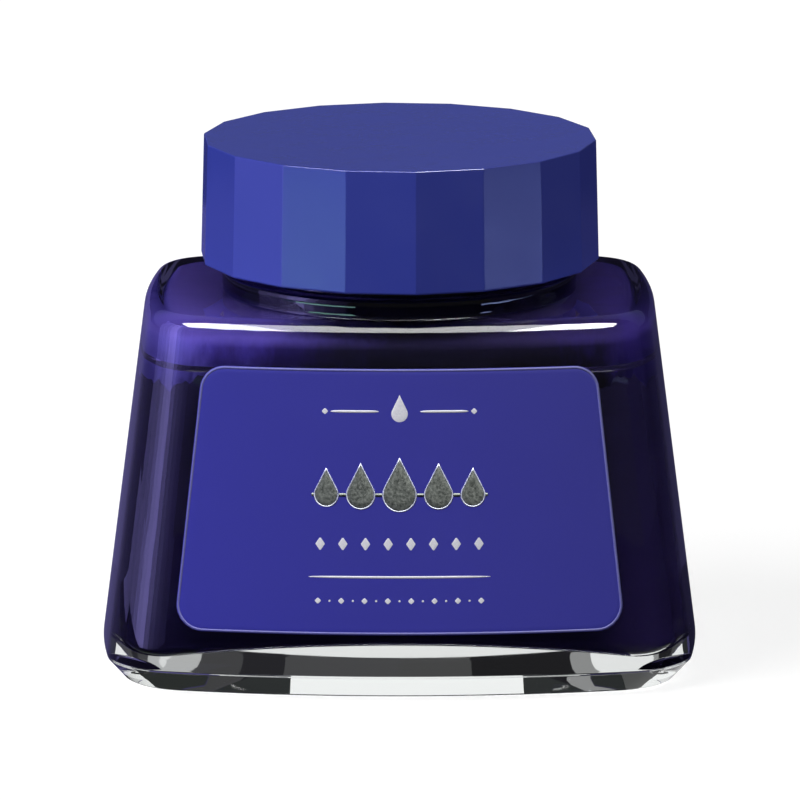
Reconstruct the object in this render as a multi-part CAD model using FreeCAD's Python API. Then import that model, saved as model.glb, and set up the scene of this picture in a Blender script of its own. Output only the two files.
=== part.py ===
"""Small glass ink bottle with a faceted screw cap.

Units are millimetres, +Z is up and the label faces -Y.
The origin is the middle of the foot, on the surface that the bottle stands on.
"""
import FreeCAD, Part

import math
import os

V = FreeCAD.Vector

# ---------------------------------------------------------------- driving dimensions
# glass body: four gently bulged sides that lean in from the heel to the shoulder
BASE_WIDTH = 53.2
BASE_DEPTH = 39.4
SHOULDER_WIDTH = 45.1
SHOULDER_Z = 33.1
SHOULDER_ROUND = 1.5
FACE_RADIUS = 100.0
CORNER_RADIUS = 6.5
HEEL_Z = 2.0
HEEL_INSET = 1.7
FOOT_RING_WIDTH = 3.6
FOOT_RECESS_DEPTH = 0.5
FOOT_RECESS_CORNER = 3.0

# hollow of the body
WALL = 2.3
CEILING_THICKNESS = 1.8
CEILING_ROUND = 1.0
FLOOR_ROUND = 1.3
FLOOR_DOME_Z = 5.2
FLOOR_DOME_RADIUS = 120.0
HOLLOW_START_Z = 1.9
INK_LEVEL_Z = 27.9

# neck
RIM_Z = 43.7
RIM_ROUND = 0.7
NECK_RADIUS = 14.65
BORE_RADIUS = 12.0
COLLAR_RADIUS = 15.8
COLLAR_TOP_Z = 34.9
COLLAR_ROUND = 0.4
COLLAR_ROOT_DEPTH = 0.9

# screw thread: single start, right-handed, trapezoidal
PITCH = 4.23
NECK_THREAD_RADIUS = 15.7
NECK_THREAD_ROOT_WIDTH = 2.2
NECK_THREAD_CREST_WIDTH = 1.2
NECK_THREAD_START_Z = 36.5
NECK_THREAD_TURNS = 1.2
CAP_THREAD_RADIUS = 15.0
CAP_THREAD_ROOT_WIDTH = 1.7
CAP_THREAD_CREST_WIDTH = 0.9
CAP_THREAD_START_Z = 37.1
CAP_THREAD_TURNS = 1.0
THREAD_AXIAL_GAP = 0.25
THREAD_EMBED = 0.3

# cap
CAP_FACETS = 18
CAP_EDGE_ANGLE = 4.6
CAP_BOTTOM_Z = 35.75
CAP_TOP_Z = 46.6
CAP_BOTTOM_RADIUS = 17.8
CAP_TOP_RADIUS = 17.5
CAP_EDGE_BREAK = 0.25
CAP_BORE_RADIUS = 16.0
CAP_TOP_WALL = 1.6
LINER_BEAD_BOTTOM_Z = 43.0
LINER_BEAD_HEIGHT = 0.4
LINER_BEAD_DEPTH = 0.6

# liner: a foam disc with a thin film under it
LINER_RADIUS = 15.7
LINER_FILM = 0.2
LINER_TOP_GAP = 0.05

# paper label on the front face
LABEL_BOTTOM_Z = 5.8
LABEL_TOP_Z = 29.1
LABEL_BOTTOM_WIDTH = 39.6
LABEL_TOP_WIDTH = 34.4
LABEL_CORNER_RADIUS = 2.2
LABEL_THICKNESS = 0.12

# silver ornament stamped on the label: a row of drops on a thin stem
FOIL_THICKNESS = 0.03
FOIL_Z = 18.1
FOIL_DROP_RADIUS = 1.5
FOIL_DROP_TIP = 2.2
FOIL_DROP_SHRINK = 0.85
FOIL_DROP_PLACES = (0.0, 3.4, 6.4)
FOIL_STEM_LENGTH = 15.4
FOIL_STEM_HEIGHT = 0.3


# ---------------------------------------------------------------- helpers
def arc(start, middle, end):
    """Edge of a circle through three points."""
    return Part.Arc(start, middle, end).toShape()


def cylinder(radius, bottom_z, top_z):
    return Part.makeCylinder(radius, top_z - bottom_z, V(0, 0, bottom_z))


def edges_at_height(shape, z):
    """Edges of a shape that lie in the horizontal plane at z."""
    return [e for e in shape.Edges if abs(e.BoundBox.ZMin - z) < 1e-4 and abs(e.BoundBox.ZMax - z) < 1e-4]


def plan_wire(width, depth, corner_radius, z):
    """Four bulged sides joined by tangent corner arcs, at height z.

    Each side's arc has its centre on the opposite side of the axis, and a corner's centre is
    as far from both of those centres as the difference of the radii.
    """
    reach = FACE_RADIUS - corner_radius
    side_x = FACE_RADIUS - width / 2
    front_y = FACE_RADIUS - depth / 2
    gap = math.hypot(side_x, front_y)
    rise = math.sqrt(reach ** 2 - gap ** 2 / 4)
    corner = V(rise * front_y / gap - side_x / 2, rise * side_x / gap - front_y / 2, 0)
    scale = FACE_RADIUS / reach
    on_front = V(corner.x * scale, (corner.y + front_y) * scale - front_y, 0)
    on_side = V((corner.x + side_x) * scale - side_x, corner.y * scale, 0)
    outward = (on_front - corner) + (on_side - corner)
    on_corner = corner + outward.normalize() * corner_radius

    def place(point, x_sign, y_sign):
        return V(x_sign * point.x, y_sign * point.y, z)

    front_middle = V(0, depth / 2, 0)
    side_middle = V(width / 2, 0, 0)
    edges = []
    for x_sign, y_sign in ((1, -1), (1, 1), (-1, 1), (-1, -1)):
        to_side = x_sign * y_sign < 0
        first, last = (on_front, on_side) if to_side else (on_side, on_front)
        edges.append(arc(place(first, x_sign, y_sign),
                         place(on_corner, x_sign, y_sign),
                         place(last, x_sign, y_sign)))
        if to_side:
            edges.append(arc(place(on_side, x_sign, y_sign),
                             place(side_middle, x_sign, 0),
                             place(on_side, x_sign, -y_sign)))
        else:
            edges.append(arc(place(on_front, x_sign, y_sign),
                             place(front_middle, 0, y_sign),
                             place(on_front, -x_sign, y_sign)))
    return Part.Wire(edges)


def tapered(plan, scale, rise):
    """Solid between a plan and its copy scaled about the axis and moved up.

    Scaling keeps neighbouring walls tangent all the way up, because they all lean to one point.
    """
    top = plan.copy()
    top.scale(scale, V(0, 0, plan.BoundBox.ZMin))
    top.translate(V(0, 0, rise))
    return Part.makeLoft([plan, top], True, True)


def body_scale(z):
    """Size of the body's plan at height z, as a share of its plan at the heel."""
    share = (z - HEEL_Z) / (SHOULDER_Z - HEEL_Z)
    return 1 + (SHOULDER_WIDTH / BASE_WIDTH - 1) * share


def make_walls():
    """Leaning walls of the body from the heel to the shoulder, with sharp ends."""
    heel_plan = plan_wire(BASE_WIDTH, BASE_DEPTH, CORNER_RADIUS, HEEL_Z)
    return tapered(heel_plan, SHOULDER_WIDTH / BASE_WIDTH, SHOULDER_Z - HEEL_Z)


def thread(root_radius, crest_radius, root_width, crest_width, start_z, turns, start_angle):
    """Helical ridge of trapezoidal section, whose flanks run on a little into the wall that carries it."""
    buried_share = THREAD_EMBED / abs(root_radius - crest_radius)
    buried_radius = root_radius + (root_radius - crest_radius) * buried_share
    buried_width = root_width + (root_width - crest_width) * buried_share
    corners = [V(buried_radius, 0, -buried_width / 2),
               V(crest_radius, 0, -crest_width / 2),
               V(crest_radius, 0, crest_width / 2),
               V(buried_radius, 0, buried_width / 2)]
    section = Part.makePolygon(corners + corners[:1])
    spine = Part.Wire(Part.makeHelix(PITCH, PITCH * turns, root_radius).Edges)
    ridge = spine.makePipeShell([section], True, True)
    ridge.rotate(V(0, 0, 0), V(0, 0, 1), start_angle)
    ridge.translate(V(0, 0, start_z))
    return ridge


def cap_thread_angle():
    """Start angle of the cap's thread, so that it lies just under the neck's thread."""
    flank_share = (CAP_THREAD_RADIUS - NECK_RADIUS) / (NECK_THREAD_RADIUS - NECK_RADIUS)
    neck_width = NECK_THREAD_ROOT_WIDTH + (NECK_THREAD_CREST_WIDTH - NECK_THREAD_ROOT_WIDTH) * flank_share
    below_neck_thread = (neck_width + CAP_THREAD_CREST_WIDTH) / 2 + THREAD_AXIAL_GAP
    return 360 * (CAP_THREAD_START_Z - NECK_THREAD_START_Z + below_neck_thread) / PITCH


def rounded_outline(corners, radius):
    """Closed outline in the XZ plane, with every corner rounded by a tangent arc."""
    edges = []
    count = len(corners)
    ends = []
    for i in range(count):
        corner = corners[i]
        back = (corners[i - 1] - corner).normalize()
        ahead = (corners[(i + 1) % count] - corner).normalize()
        half_angle = back.getAngle(ahead) / 2
        run = radius / math.tan(half_angle)
        bisector = (back + ahead).normalize()
        middle = corner + bisector * (radius / math.sin(half_angle) - radius)
        ends.append((corner + back * run, middle, corner + ahead * run))
    for i in range(count):
        edges.append(arc(*ends[i]))
        edges.append(Part.LineSegment(ends[i][2], ends[(i + 1) % count][0]).toShape())
    return Part.Wire(edges)


def in_front(outline):
    """Prism that takes an outline in the XZ plane through the front half of the bottle."""
    return Part.Face(outline).extrude(V(0, -BASE_DEPTH, 0))


def front_layer(prism, inner, outer):
    """Thin layer over the front wall, between two distances in front of it."""
    behind = make_walls()
    front = behind.copy()
    front.translate(V(0, -outer, 0))
    behind.translate(V(0, -inner, 0))
    return front.common(prism).cut(behind)


# ---------------------------------------------------------------- glass and ink
def make_body():
    """Outside of the glass body, without its neck."""
    walls = make_walls()
    walls = walls.makeFillet(SHOULDER_ROUND, edges_at_height(walls, SHOULDER_Z))
    heel_plan = plan_wire(BASE_WIDTH, BASE_DEPTH, CORNER_RADIUS, HEEL_Z)
    heel = tapered(heel_plan, 1 - 2 * HEEL_INSET / BASE_WIDTH, -HEEL_Z)
    return heel.fuse(walls)


def make_hollow():
    """Room inside the body, over a floor that is domed from corner to corner."""
    ceiling_z = SHOULDER_Z - CEILING_THICKNESS
    start_scale = body_scale(HOLLOW_START_Z)
    start_width = BASE_WIDTH * start_scale - 2 * WALL
    start_depth = BASE_DEPTH * start_scale - 2 * WALL
    ceiling_width = BASE_WIDTH * body_scale(ceiling_z) - 2 * WALL
    start_plan = plan_wire(start_width, start_depth, CORNER_RADIUS - WALL, HOLLOW_START_Z)
    hollow = tapered(start_plan, ceiling_width / start_width, ceiling_z - HOLLOW_START_Z)
    hollow = hollow.makeFillet(CEILING_ROUND, edges_at_height(hollow, ceiling_z))
    dome_centre = V(0, 0, FLOOR_DOME_Z - FLOOR_DOME_RADIUS)
    dome = Part.makeSphere(FLOOR_DOME_RADIUS, dome_centre, V(0, 1, 0))
    # the sphere's seam is turned to the bottom, so that it doesn't cross the floor
    dome.rotate(dome_centre, V(0, 1, 0), 180)
    hollow = hollow.cut(dome)
    floor_edges = [e for e in hollow.Edges if e.BoundBox.ZMax < FLOOR_DOME_Z]
    return hollow.makeFillet(FLOOR_ROUND, floor_edges)


def make_neck():
    """Collar and threaded neck, still solid."""
    collar = cylinder(COLLAR_RADIUS, SHOULDER_Z - COLLAR_ROOT_DEPTH, COLLAR_TOP_Z)
    collar = collar.makeFillet(COLLAR_ROUND, edges_at_height(collar, COLLAR_TOP_Z))
    neck = cylinder(NECK_RADIUS, SHOULDER_Z - COLLAR_ROOT_DEPTH, RIM_Z)
    neck = neck.makeFillet(RIM_ROUND, edges_at_height(neck, RIM_Z))
    ridge = thread(NECK_RADIUS, NECK_THREAD_RADIUS, NECK_THREAD_ROOT_WIDTH, NECK_THREAD_CREST_WIDTH,
                   NECK_THREAD_START_Z, NECK_THREAD_TURNS, 0)
    return collar.fuse(neck).fuse(ridge)


def make_bore():
    """Way through the neck into the body, rounded at the rim."""
    ceiling_z = SHOULDER_Z - CEILING_THICKNESS
    bore = cylinder(BORE_RADIUS, ceiling_z - CEILING_ROUND, RIM_Z)
    mouth = cylinder(BORE_RADIUS + RIM_ROUND, RIM_Z - RIM_ROUND, RIM_Z)
    lip = Part.makeTorus(BORE_RADIUS + RIM_ROUND, RIM_ROUND, V(0, 0, RIM_Z - RIM_ROUND))
    return bore.fuse(mouth.cut(lip))


def make_foot_recess():
    """Shallow recess that leaves a bearing ring round the foot."""
    width = BASE_WIDTH - 2 * (HEEL_INSET + FOOT_RING_WIDTH)
    depth = BASE_DEPTH - 2 * (HEEL_INSET + FOOT_RING_WIDTH)
    outline = plan_wire(width, depth, FOOT_RECESS_CORNER, 0)
    return tapered(outline, 1 - 2 * FOOT_RECESS_DEPTH / width, FOOT_RECESS_DEPTH)


def make_glass(hollow):
    glass = make_body().fuse(make_neck())
    return glass.cut(hollow.fuse(make_bore())).cut(make_foot_recess())


def make_ink(hollow):
    below_level = Part.makeBox(BASE_WIDTH, BASE_DEPTH, INK_LEVEL_Z, V(-BASE_WIDTH / 2, -BASE_DEPTH / 2, 0))
    return hollow.common(below_level)


# ---------------------------------------------------------------- cap and liner
def facet_wire(radius, z):
    """Regular polygon of the cap's outside at height z."""
    step = 360.0 / CAP_FACETS
    corners = []
    for i in range(CAP_FACETS + 1):
        angle = math.radians(CAP_EDGE_ANGLE - 90 + i * step)
        corners.append(V(radius * math.cos(angle), radius * math.sin(angle), z))
    return Part.makePolygon(corners)


def make_cap_shell():
    """Faceted cap with its bore, thread and the bead that keeps the liner in."""
    lower_edge = facet_wire(CAP_BOTTOM_RADIUS, CAP_BOTTOM_Z)
    upper_edge = facet_wire(CAP_TOP_RADIUS, CAP_TOP_Z)
    outside = Part.makeLoft([lower_edge, upper_edge], True, True)
    outside = outside.makeChamfer(CAP_EDGE_BREAK, edges_at_height(outside, CAP_TOP_Z))
    shell = outside.cut(cylinder(CAP_BORE_RADIUS, CAP_BOTTOM_Z, CAP_TOP_Z - CAP_TOP_WALL))
    bead_top_z = LINER_BEAD_BOTTOM_Z + LINER_BEAD_HEIGHT
    bead = cylinder(CAP_BORE_RADIUS + THREAD_EMBED, LINER_BEAD_BOTTOM_Z, bead_top_z)
    bead = bead.cut(cylinder(CAP_BORE_RADIUS - LINER_BEAD_DEPTH, LINER_BEAD_BOTTOM_Z, bead_top_z))
    ridge = thread(CAP_BORE_RADIUS, CAP_THREAD_RADIUS, CAP_THREAD_ROOT_WIDTH, CAP_THREAD_CREST_WIDTH,
                   CAP_THREAD_START_Z, CAP_THREAD_TURNS, cap_thread_angle())
    return shell.fuse(bead).fuse(ridge)


def make_liner_film():
    return cylinder(LINER_RADIUS, RIM_Z, RIM_Z + LINER_FILM)


def make_liner_foam():
    return cylinder(LINER_RADIUS, RIM_Z + LINER_FILM, CAP_TOP_Z - CAP_TOP_WALL - LINER_TOP_GAP)


# ---------------------------------------------------------------- label and foil
def make_label():
    corners = [V(-LABEL_BOTTOM_WIDTH / 2, 0, LABEL_BOTTOM_Z),
               V(LABEL_BOTTOM_WIDTH / 2, 0, LABEL_BOTTOM_Z),
               V(LABEL_TOP_WIDTH / 2, 0, LABEL_TOP_Z),
               V(-LABEL_TOP_WIDTH / 2, 0, LABEL_TOP_Z)]
    return front_layer(in_front(rounded_outline(corners, LABEL_CORNER_RADIUS)), 0, LABEL_THICKNESS)


def drop_outline(x, radius):
    """Ink drop: the lower part of a circle, with two tangent lines that meet at the tip."""
    tip = V(x, 0, FOIL_Z + FOIL_DROP_TIP * radius)
    touch_angle = math.asin(1 / FOIL_DROP_TIP)
    side = V(radius * math.cos(touch_angle), 0, radius * math.sin(touch_angle))
    right = V(x + side.x, 0, FOIL_Z + side.z)
    left = V(x - side.x, 0, FOIL_Z + side.z)
    bowl = arc(left, V(x, 0, FOIL_Z - radius), right)
    return Part.Wire([bowl, Part.LineSegment(right, tip).toShape(), Part.LineSegment(tip, left).toShape()])


def make_foil():
    """Silver ornament: a stem with a middle drop and a pair of smaller drops for each further place."""
    prism = Part.makeBox(FOIL_STEM_LENGTH, BASE_DEPTH, FOIL_STEM_HEIGHT,
                         V(-FOIL_STEM_LENGTH / 2, -BASE_DEPTH, FOIL_Z - FOIL_STEM_HEIGHT / 2))
    for step, place in enumerate(FOIL_DROP_PLACES):
        radius = FOIL_DROP_RADIUS * FOIL_DROP_SHRINK ** step
        for x in sorted({-place, place}):
            prism = prism.fuse(in_front(drop_outline(x, radius)))
    return front_layer(prism.removeSplitter(), LABEL_THICKNESS, LABEL_THICKNESS + FOIL_THICKNESS)


# ---------------------------------------------------------------- all pieces
def single_solid(shape):
    """The one solid in a shape, so that each file holds a plain solid."""
    if len(shape.Solids) != 1:
        raise ValueError("expected one solid, found %d" % len(shape.Solids))
    return shape.Solids[0]


def main():
    hollow = make_hollow()
    pieces = {
        "glass_bottle": make_glass(hollow),
        "ink_fill": make_ink(hollow),
        "front_label": make_label(),
        "label_foil": make_foil(),
        "cap_shell": make_cap_shell(),
        "cap_liner": make_liner_foam(),
        "liner_facing": make_liner_film(),
    }
    os.makedirs("parts", exist_ok=True)
    for name, shape in pieces.items():
        solid = single_solid(shape)
        solid.exportStep("parts/%s.step" % name)
        print("%-14s valid %s  volume %.3f cm3" % (name, solid.isValid(), solid.Volume / 1000))


main()
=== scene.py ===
"""Looks of the small glass ink bottle with its faceted screw cap.

Everything is in metres, in the frame's axes: +Z is up and the label faces -Y.
"""
import math

import bpy
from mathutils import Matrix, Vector


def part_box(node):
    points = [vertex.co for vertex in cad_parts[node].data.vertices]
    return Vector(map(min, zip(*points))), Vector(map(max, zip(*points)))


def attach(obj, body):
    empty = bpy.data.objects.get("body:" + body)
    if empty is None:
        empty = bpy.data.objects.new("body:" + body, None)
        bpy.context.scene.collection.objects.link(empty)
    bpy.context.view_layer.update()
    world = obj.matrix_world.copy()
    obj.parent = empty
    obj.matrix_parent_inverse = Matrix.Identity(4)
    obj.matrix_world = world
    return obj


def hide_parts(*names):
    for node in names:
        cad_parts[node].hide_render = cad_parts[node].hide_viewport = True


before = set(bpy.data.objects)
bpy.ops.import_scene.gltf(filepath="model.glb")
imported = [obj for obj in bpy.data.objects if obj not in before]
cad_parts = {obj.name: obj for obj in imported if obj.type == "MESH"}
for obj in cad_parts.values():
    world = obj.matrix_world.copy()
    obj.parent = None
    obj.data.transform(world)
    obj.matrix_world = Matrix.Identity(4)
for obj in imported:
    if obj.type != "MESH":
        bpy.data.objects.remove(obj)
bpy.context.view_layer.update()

MM = 0.001
TURN = 2 * math.pi

# -------- places taken from the frame
glass_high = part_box("glass_bottle")[1]
ink_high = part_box("ink_fill")[1]
label_low, label_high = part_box("front_label")
foil_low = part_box("label_foil")[0]
cap_low, cap_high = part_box("cap_shell")
foam_low, foam_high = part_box("cap_liner")
film_low, film_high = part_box("liner_facing")

# glass body
HALF_WIDTH = 26.6 * MM
HALF_DEPTH = 19.7 * MM
CORNER_RADIUS = 6.5 * MM
FACE_RADIUS = 100 * MM
HEEL_Z = 2.0 * MM
HEEL_INSET = 1.7 * MM
SHOULDER_Z = 33.1 * MM
SHOULDER_SCALE = 45.1 / 53.2
SHOULDER_ROUND = 1.5 * MM
RIM_Z = glass_high[2]
WALL = 2.3 * MM
HOLLOW_START_Z = 1.9 * MM
FLOOR_ROUND = 1.3 * MM
FLOOR_DOME_Z = 5.2 * MM
FLOOR_DOME_RADIUS = 120 * MM
HOLLOW_WALL_FOOT_Z = 6.5 * MM
CEILING_Z = 31.3 * MM
CEILING_ROUND = 1.0 * MM
WALL_LEAN = math.radians(6.8)
INK_LEVEL_Z = ink_high[2]

# neck
COLLAR_RADIUS = 15.8 * MM
COLLAR_TOP_Z = 34.9 * MM
NECK_RADIUS = 14.65 * MM
BORE_RADIUS = 12.0 * MM
RIM_ROUND = 0.7 * MM
PITCH = 4.23 * MM
NECK_THREAD_RADIUS = 15.7 * MM
NECK_THREAD_START_Z = 36.5 * MM
NECK_THREAD_ROOT_WIDTH = 2.2 * MM
NECK_THREAD_CREST_WIDTH = 1.2 * MM

# cap
CAP_FACETS = 18
CAP_EDGE_ANGLE = math.radians(4.6)
CAP_BOTTOM_RADIUS = 17.8 * MM
CAP_TOP_RADIUS = 17.5 * MM
CAP_BORE_RADIUS = 16.0 * MM
CAP_TOP_WALL = 1.6 * MM
CAP_THREAD_RADIUS = 15.0 * MM
CAP_THREAD_START_Z = 37.1 * MM
CAP_THREAD_CREST_WIDTH = 0.9 * MM
THREAD_AXIAL_GAP = 0.25 * MM
LINER_RADIUS = 15.7 * MM

# steps of each quarter of a plan: front, corner and side
FRONT_STEPS = 16
CORNER_STEPS = 14
SIDE_STEPS = 12
RING_POINTS = 4 * (FRONT_STEPS + CORNER_STEPS + SIDE_STEPS)


# -------- mesh helpers
def mesh_piece(name, points, faces, material, smooth=True):
    mesh = bpy.data.meshes.new(name)
    mesh.from_pydata([tuple(p) for p in points], [], faces)
    mesh.validate()
    mesh.polygons.foreach_set("use_smooth", [smooth] * len(mesh.polygons))
    mesh.update()
    piece = bpy.data.objects.new(name, mesh)
    piece.data.materials.append(material)
    bpy.context.scene.collection.objects.link(piece)
    return piece


def skin_rings(rings, start_point=None, end_point=None, wrap=False):
    """Points and quads through rings of equal length, closed by fans to the end points or wrapped round."""
    count = len(rings[0])
    points = [p for ring in rings for p in ring]
    faces = []
    pairs = list(range(len(rings) - 1)) + ([len(rings) - 1] if wrap else [])
    for j in pairs:
        k = (j + 1) % len(rings)
        for i in range(count):
            n = (i + 1) % count
            faces.append((j * count + i, j * count + n, k * count + n, k * count + i))
    if start_point is not None:
        points.append(start_point)
        faces += [(len(points) - 1, (i + 1) % count, i) for i in range(count)]
    if end_point is not None:
        points.append(end_point)
        last = (len(rings) - 1) * count
        faces += [(len(points) - 1, last + i, last + (i + 1) % count) for i in range(count)]
    return points, faces


def smoothstep(low, high, value):
    share = min(max((value - low) / (high - low), 0), 1)
    return share * share * (3 - 2 * share)


# -------- plans of the bottle
def plan_quarter(half_width, half_depth, corner_radius, face_radius):
    """Points of a quarter of the plan, from the front's middle round the corner to the side's middle."""
    reach = face_radius - corner_radius
    side_x = face_radius - half_width
    front_y = face_radius - half_depth
    gap = math.hypot(side_x, front_y)
    rise = math.sqrt(reach ** 2 - gap ** 2 / 4)
    corner_x = rise * front_y / gap - side_x / 2
    corner_y = rise * side_x / gap - front_y / 2
    front_angle = math.atan2(corner_x, corner_y + front_y)
    side_angle = math.atan2(corner_x + side_x, corner_y)
    points = []
    for i in range(FRONT_STEPS):
        angle = front_angle * i / FRONT_STEPS
        points.append((face_radius * math.sin(angle), face_radius * math.cos(angle) - front_y))
    for i in range(CORNER_STEPS):
        angle = front_angle + (side_angle - front_angle) * i / CORNER_STEPS
        points.append((corner_x + corner_radius * math.sin(angle),
                       corner_y + corner_radius * math.cos(angle)))
    for i in range(SIDE_STEPS + 1):
        angle = side_angle + (math.pi / 2 - side_angle) * i / SIDE_STEPS
        points.append((face_radius * math.sin(angle) - side_x, face_radius * math.cos(angle)))
    return points


def plan_ring(half_width, half_depth, corner_radius, face_radius, z):
    """Closed ring of the plan, from the front's middle towards +X."""
    quarter = plan_quarter(half_width, half_depth, corner_radius, face_radius)
    right = [(x, -y) for x, y in quarter] + [(x, y) for x, y in quarter[-2::-1]]
    ring = right + [(-x, y) for x, y in right[-2:0:-1]]
    return [Vector((x, y, z)) for x, y in ring]


def circle_ring(radius, z):
    ring = []
    for i in range(RING_POINTS):
        angle = TURN * i / RING_POINTS
        ring.append(Vector((radius * math.sin(angle), -radius * math.cos(angle), z)))
    return ring


def shrunk(ring, scale, z):
    return [Vector((p.x * scale, p.y * scale, z)) for p in ring]


def body_scale(z):
    """Size of the outer plan at height z, as a share of the plan at the heel."""
    return 1 + (SHOULDER_SCALE - 1) * (z - HEEL_Z) / (SHOULDER_Z - HEEL_Z)


def outer_ring(z, inset=0, scale=None):
    s = body_scale(z) if scale is None else scale
    return plan_ring(HALF_WIDTH * s - inset, HALF_DEPTH * s - inset, CORNER_RADIUS * s - inset,
                     FACE_RADIUS * s - inset, z)


def inner_ring(wall_z, inset=0, z=None):
    """Ring of the hollow, whose plan leans in with its walls and is moved in further by inset."""
    start_half_width = HALF_WIDTH * body_scale(HOLLOW_START_Z) - WALL
    start_half_depth = HALF_DEPTH * body_scale(HOLLOW_START_Z) - WALL
    ceiling_half_width = HALF_WIDTH * body_scale(CEILING_Z) - WALL
    share = (wall_z - HOLLOW_START_Z) / (CEILING_Z - HOLLOW_START_Z)
    s = 1 + (ceiling_half_width / start_half_width - 1) * share
    return plan_ring(start_half_width * s - inset, start_half_depth * s - inset,
                     (CORNER_RADIUS - WALL) * s - inset, FACE_RADIUS * s - inset,
                     wall_z if z is None else z)


def rounded_path(corners, steps=5):
    """Path of (r, z) points through (r, z, radius) corners, with each corner rounded by an arc."""
    path = []
    for i, (r, z, radius) in enumerate(corners):
        if radius == 0 or i in (0, len(corners) - 1):
            path.append((r, z))
            continue
        here = Vector((r, z))
        back = (Vector(corners[i - 1][:2]) - here).normalized()
        ahead = (Vector(corners[i + 1][:2]) - here).normalized()
        half_angle = back.angle(ahead) / 2
        centre = here + (back + ahead).normalized() * radius / math.sin(half_angle)
        start = here + back * radius / math.tan(half_angle) - centre
        end = here + ahead * radius / math.tan(half_angle) - centre
        sweep = start.angle_signed(end)
        for k in range(steps + 1):
            angle = -sweep * k / steps
            x = start.x * math.cos(angle) - start.y * math.sin(angle)
            y = start.x * math.sin(angle) + start.y * math.cos(angle)
            path.append((centre.x + x, centre.y + y))
    return path


def fillet_rings(ring_at, wall_z, radius, first_angle, last_angle, steps):
    """Rings round a fillet between a leaning wall and a flat; ring_at(wall_z, inset, z) gives a ring."""
    rings = []
    for k in range(steps + 1):
        angle = first_angle + (last_angle - first_angle) * k / steps
        inset = radius / math.cos(WALL_LEAN) - radius * math.cos(angle)
        rings.append(ring_at(wall_z, inset, wall_z + radius * math.sin(angle)))
    return rings


def dome_z(distance):
    """Height of the hollow's floor at a distance from the axis."""
    return FLOOR_DOME_Z - FLOOR_DOME_RADIUS + math.sqrt(FLOOR_DOME_RADIUS ** 2 - distance ** 2)


def floor_rings(outset=0, steps=9):
    """Rings of the hollow's floor from the middle of its dome to the top of its edge fillet.

    At each point of the ring the fillet is a circle that touches the leaning wall and the dome.
    """
    base_z = 2.9 * MM
    lean = math.tan(WALL_LEAN)
    wall_points = inner_ring(base_z)
    moved_points = inner_ring(base_z, 0.5 * MM)
    fillet = [[] for k in range(steps + 1)]
    for wall_point, moved_point in zip(wall_points, moved_points):
        inward = (moved_point - wall_point).normalized()
        distance = math.hypot(wall_point.x, wall_point.y)
        slope = -(wall_point.x * inward.x + wall_point.y * inward.y) / FLOOR_DOME_RADIUS
        tilt = math.atan(slope)
        rise = dome_z(distance) - base_z + FLOOR_ROUND / math.cos(tilt)
        deep = (FLOOR_ROUND / math.cos(WALL_LEAN) + lean * rise) / (1 - lean * slope)
        centre_z = base_z + rise + slope * deep
        radius = FLOOR_ROUND + outset
        for k in range(steps + 1):
            first = -math.pi / 2 - tilt
            angle = first + (WALL_LEAN - first) * k / steps
            p = wall_point + inward * (deep - radius * math.cos(angle))
            fillet[k].append(Vector((p.x, p.y, centre_z + radius * math.sin(angle))))
    dome = []
    for scale in (0.1, 0.2, 0.3, 0.4, 0.5, 0.6, 0.7, 0.8, 0.87, 0.93, 0.97):
        ring = shrunk(fillet[0], scale, 0)
        for p in ring:
            p.z = dome_z(math.hypot(p.x, p.y)) - outset
        dome.append(ring)
    return dome + fillet


# -------- screw threads
def thread_share(angle, z, start_z, start_angle, turns, root_width, crest_width):
    """How far the thread's ridge stands out at an angle about the axis and a height, from 0 to 1."""
    share = 0
    for lap in range(-1, 3):
        along = (angle - start_angle) / TURN + lap
        if 0 <= along <= turns:
            off = abs(z - start_z - PITCH * along)
            flank = 1 - smoothstep(crest_width / 2 - 0.1 * MM, root_width / 2 + 0.1 * MM, off)
            ends = smoothstep(0, 0.1, along) * smoothstep(0, 0.1, turns - along)
            share = max(share, flank * ends)
    return share


def threaded_ring(z, root_radius, crest_radius, **thread):
    ring = []
    for i in range(RING_POINTS):
        around = TURN * i / RING_POINTS
        from_x = (around - math.pi / 2) % TURN
        radius = root_radius + (crest_radius - root_radius) * thread_share(from_x, z, **thread)
        ring.append(Vector((radius * math.sin(around), -radius * math.cos(around), z)))
    return ring


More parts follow.
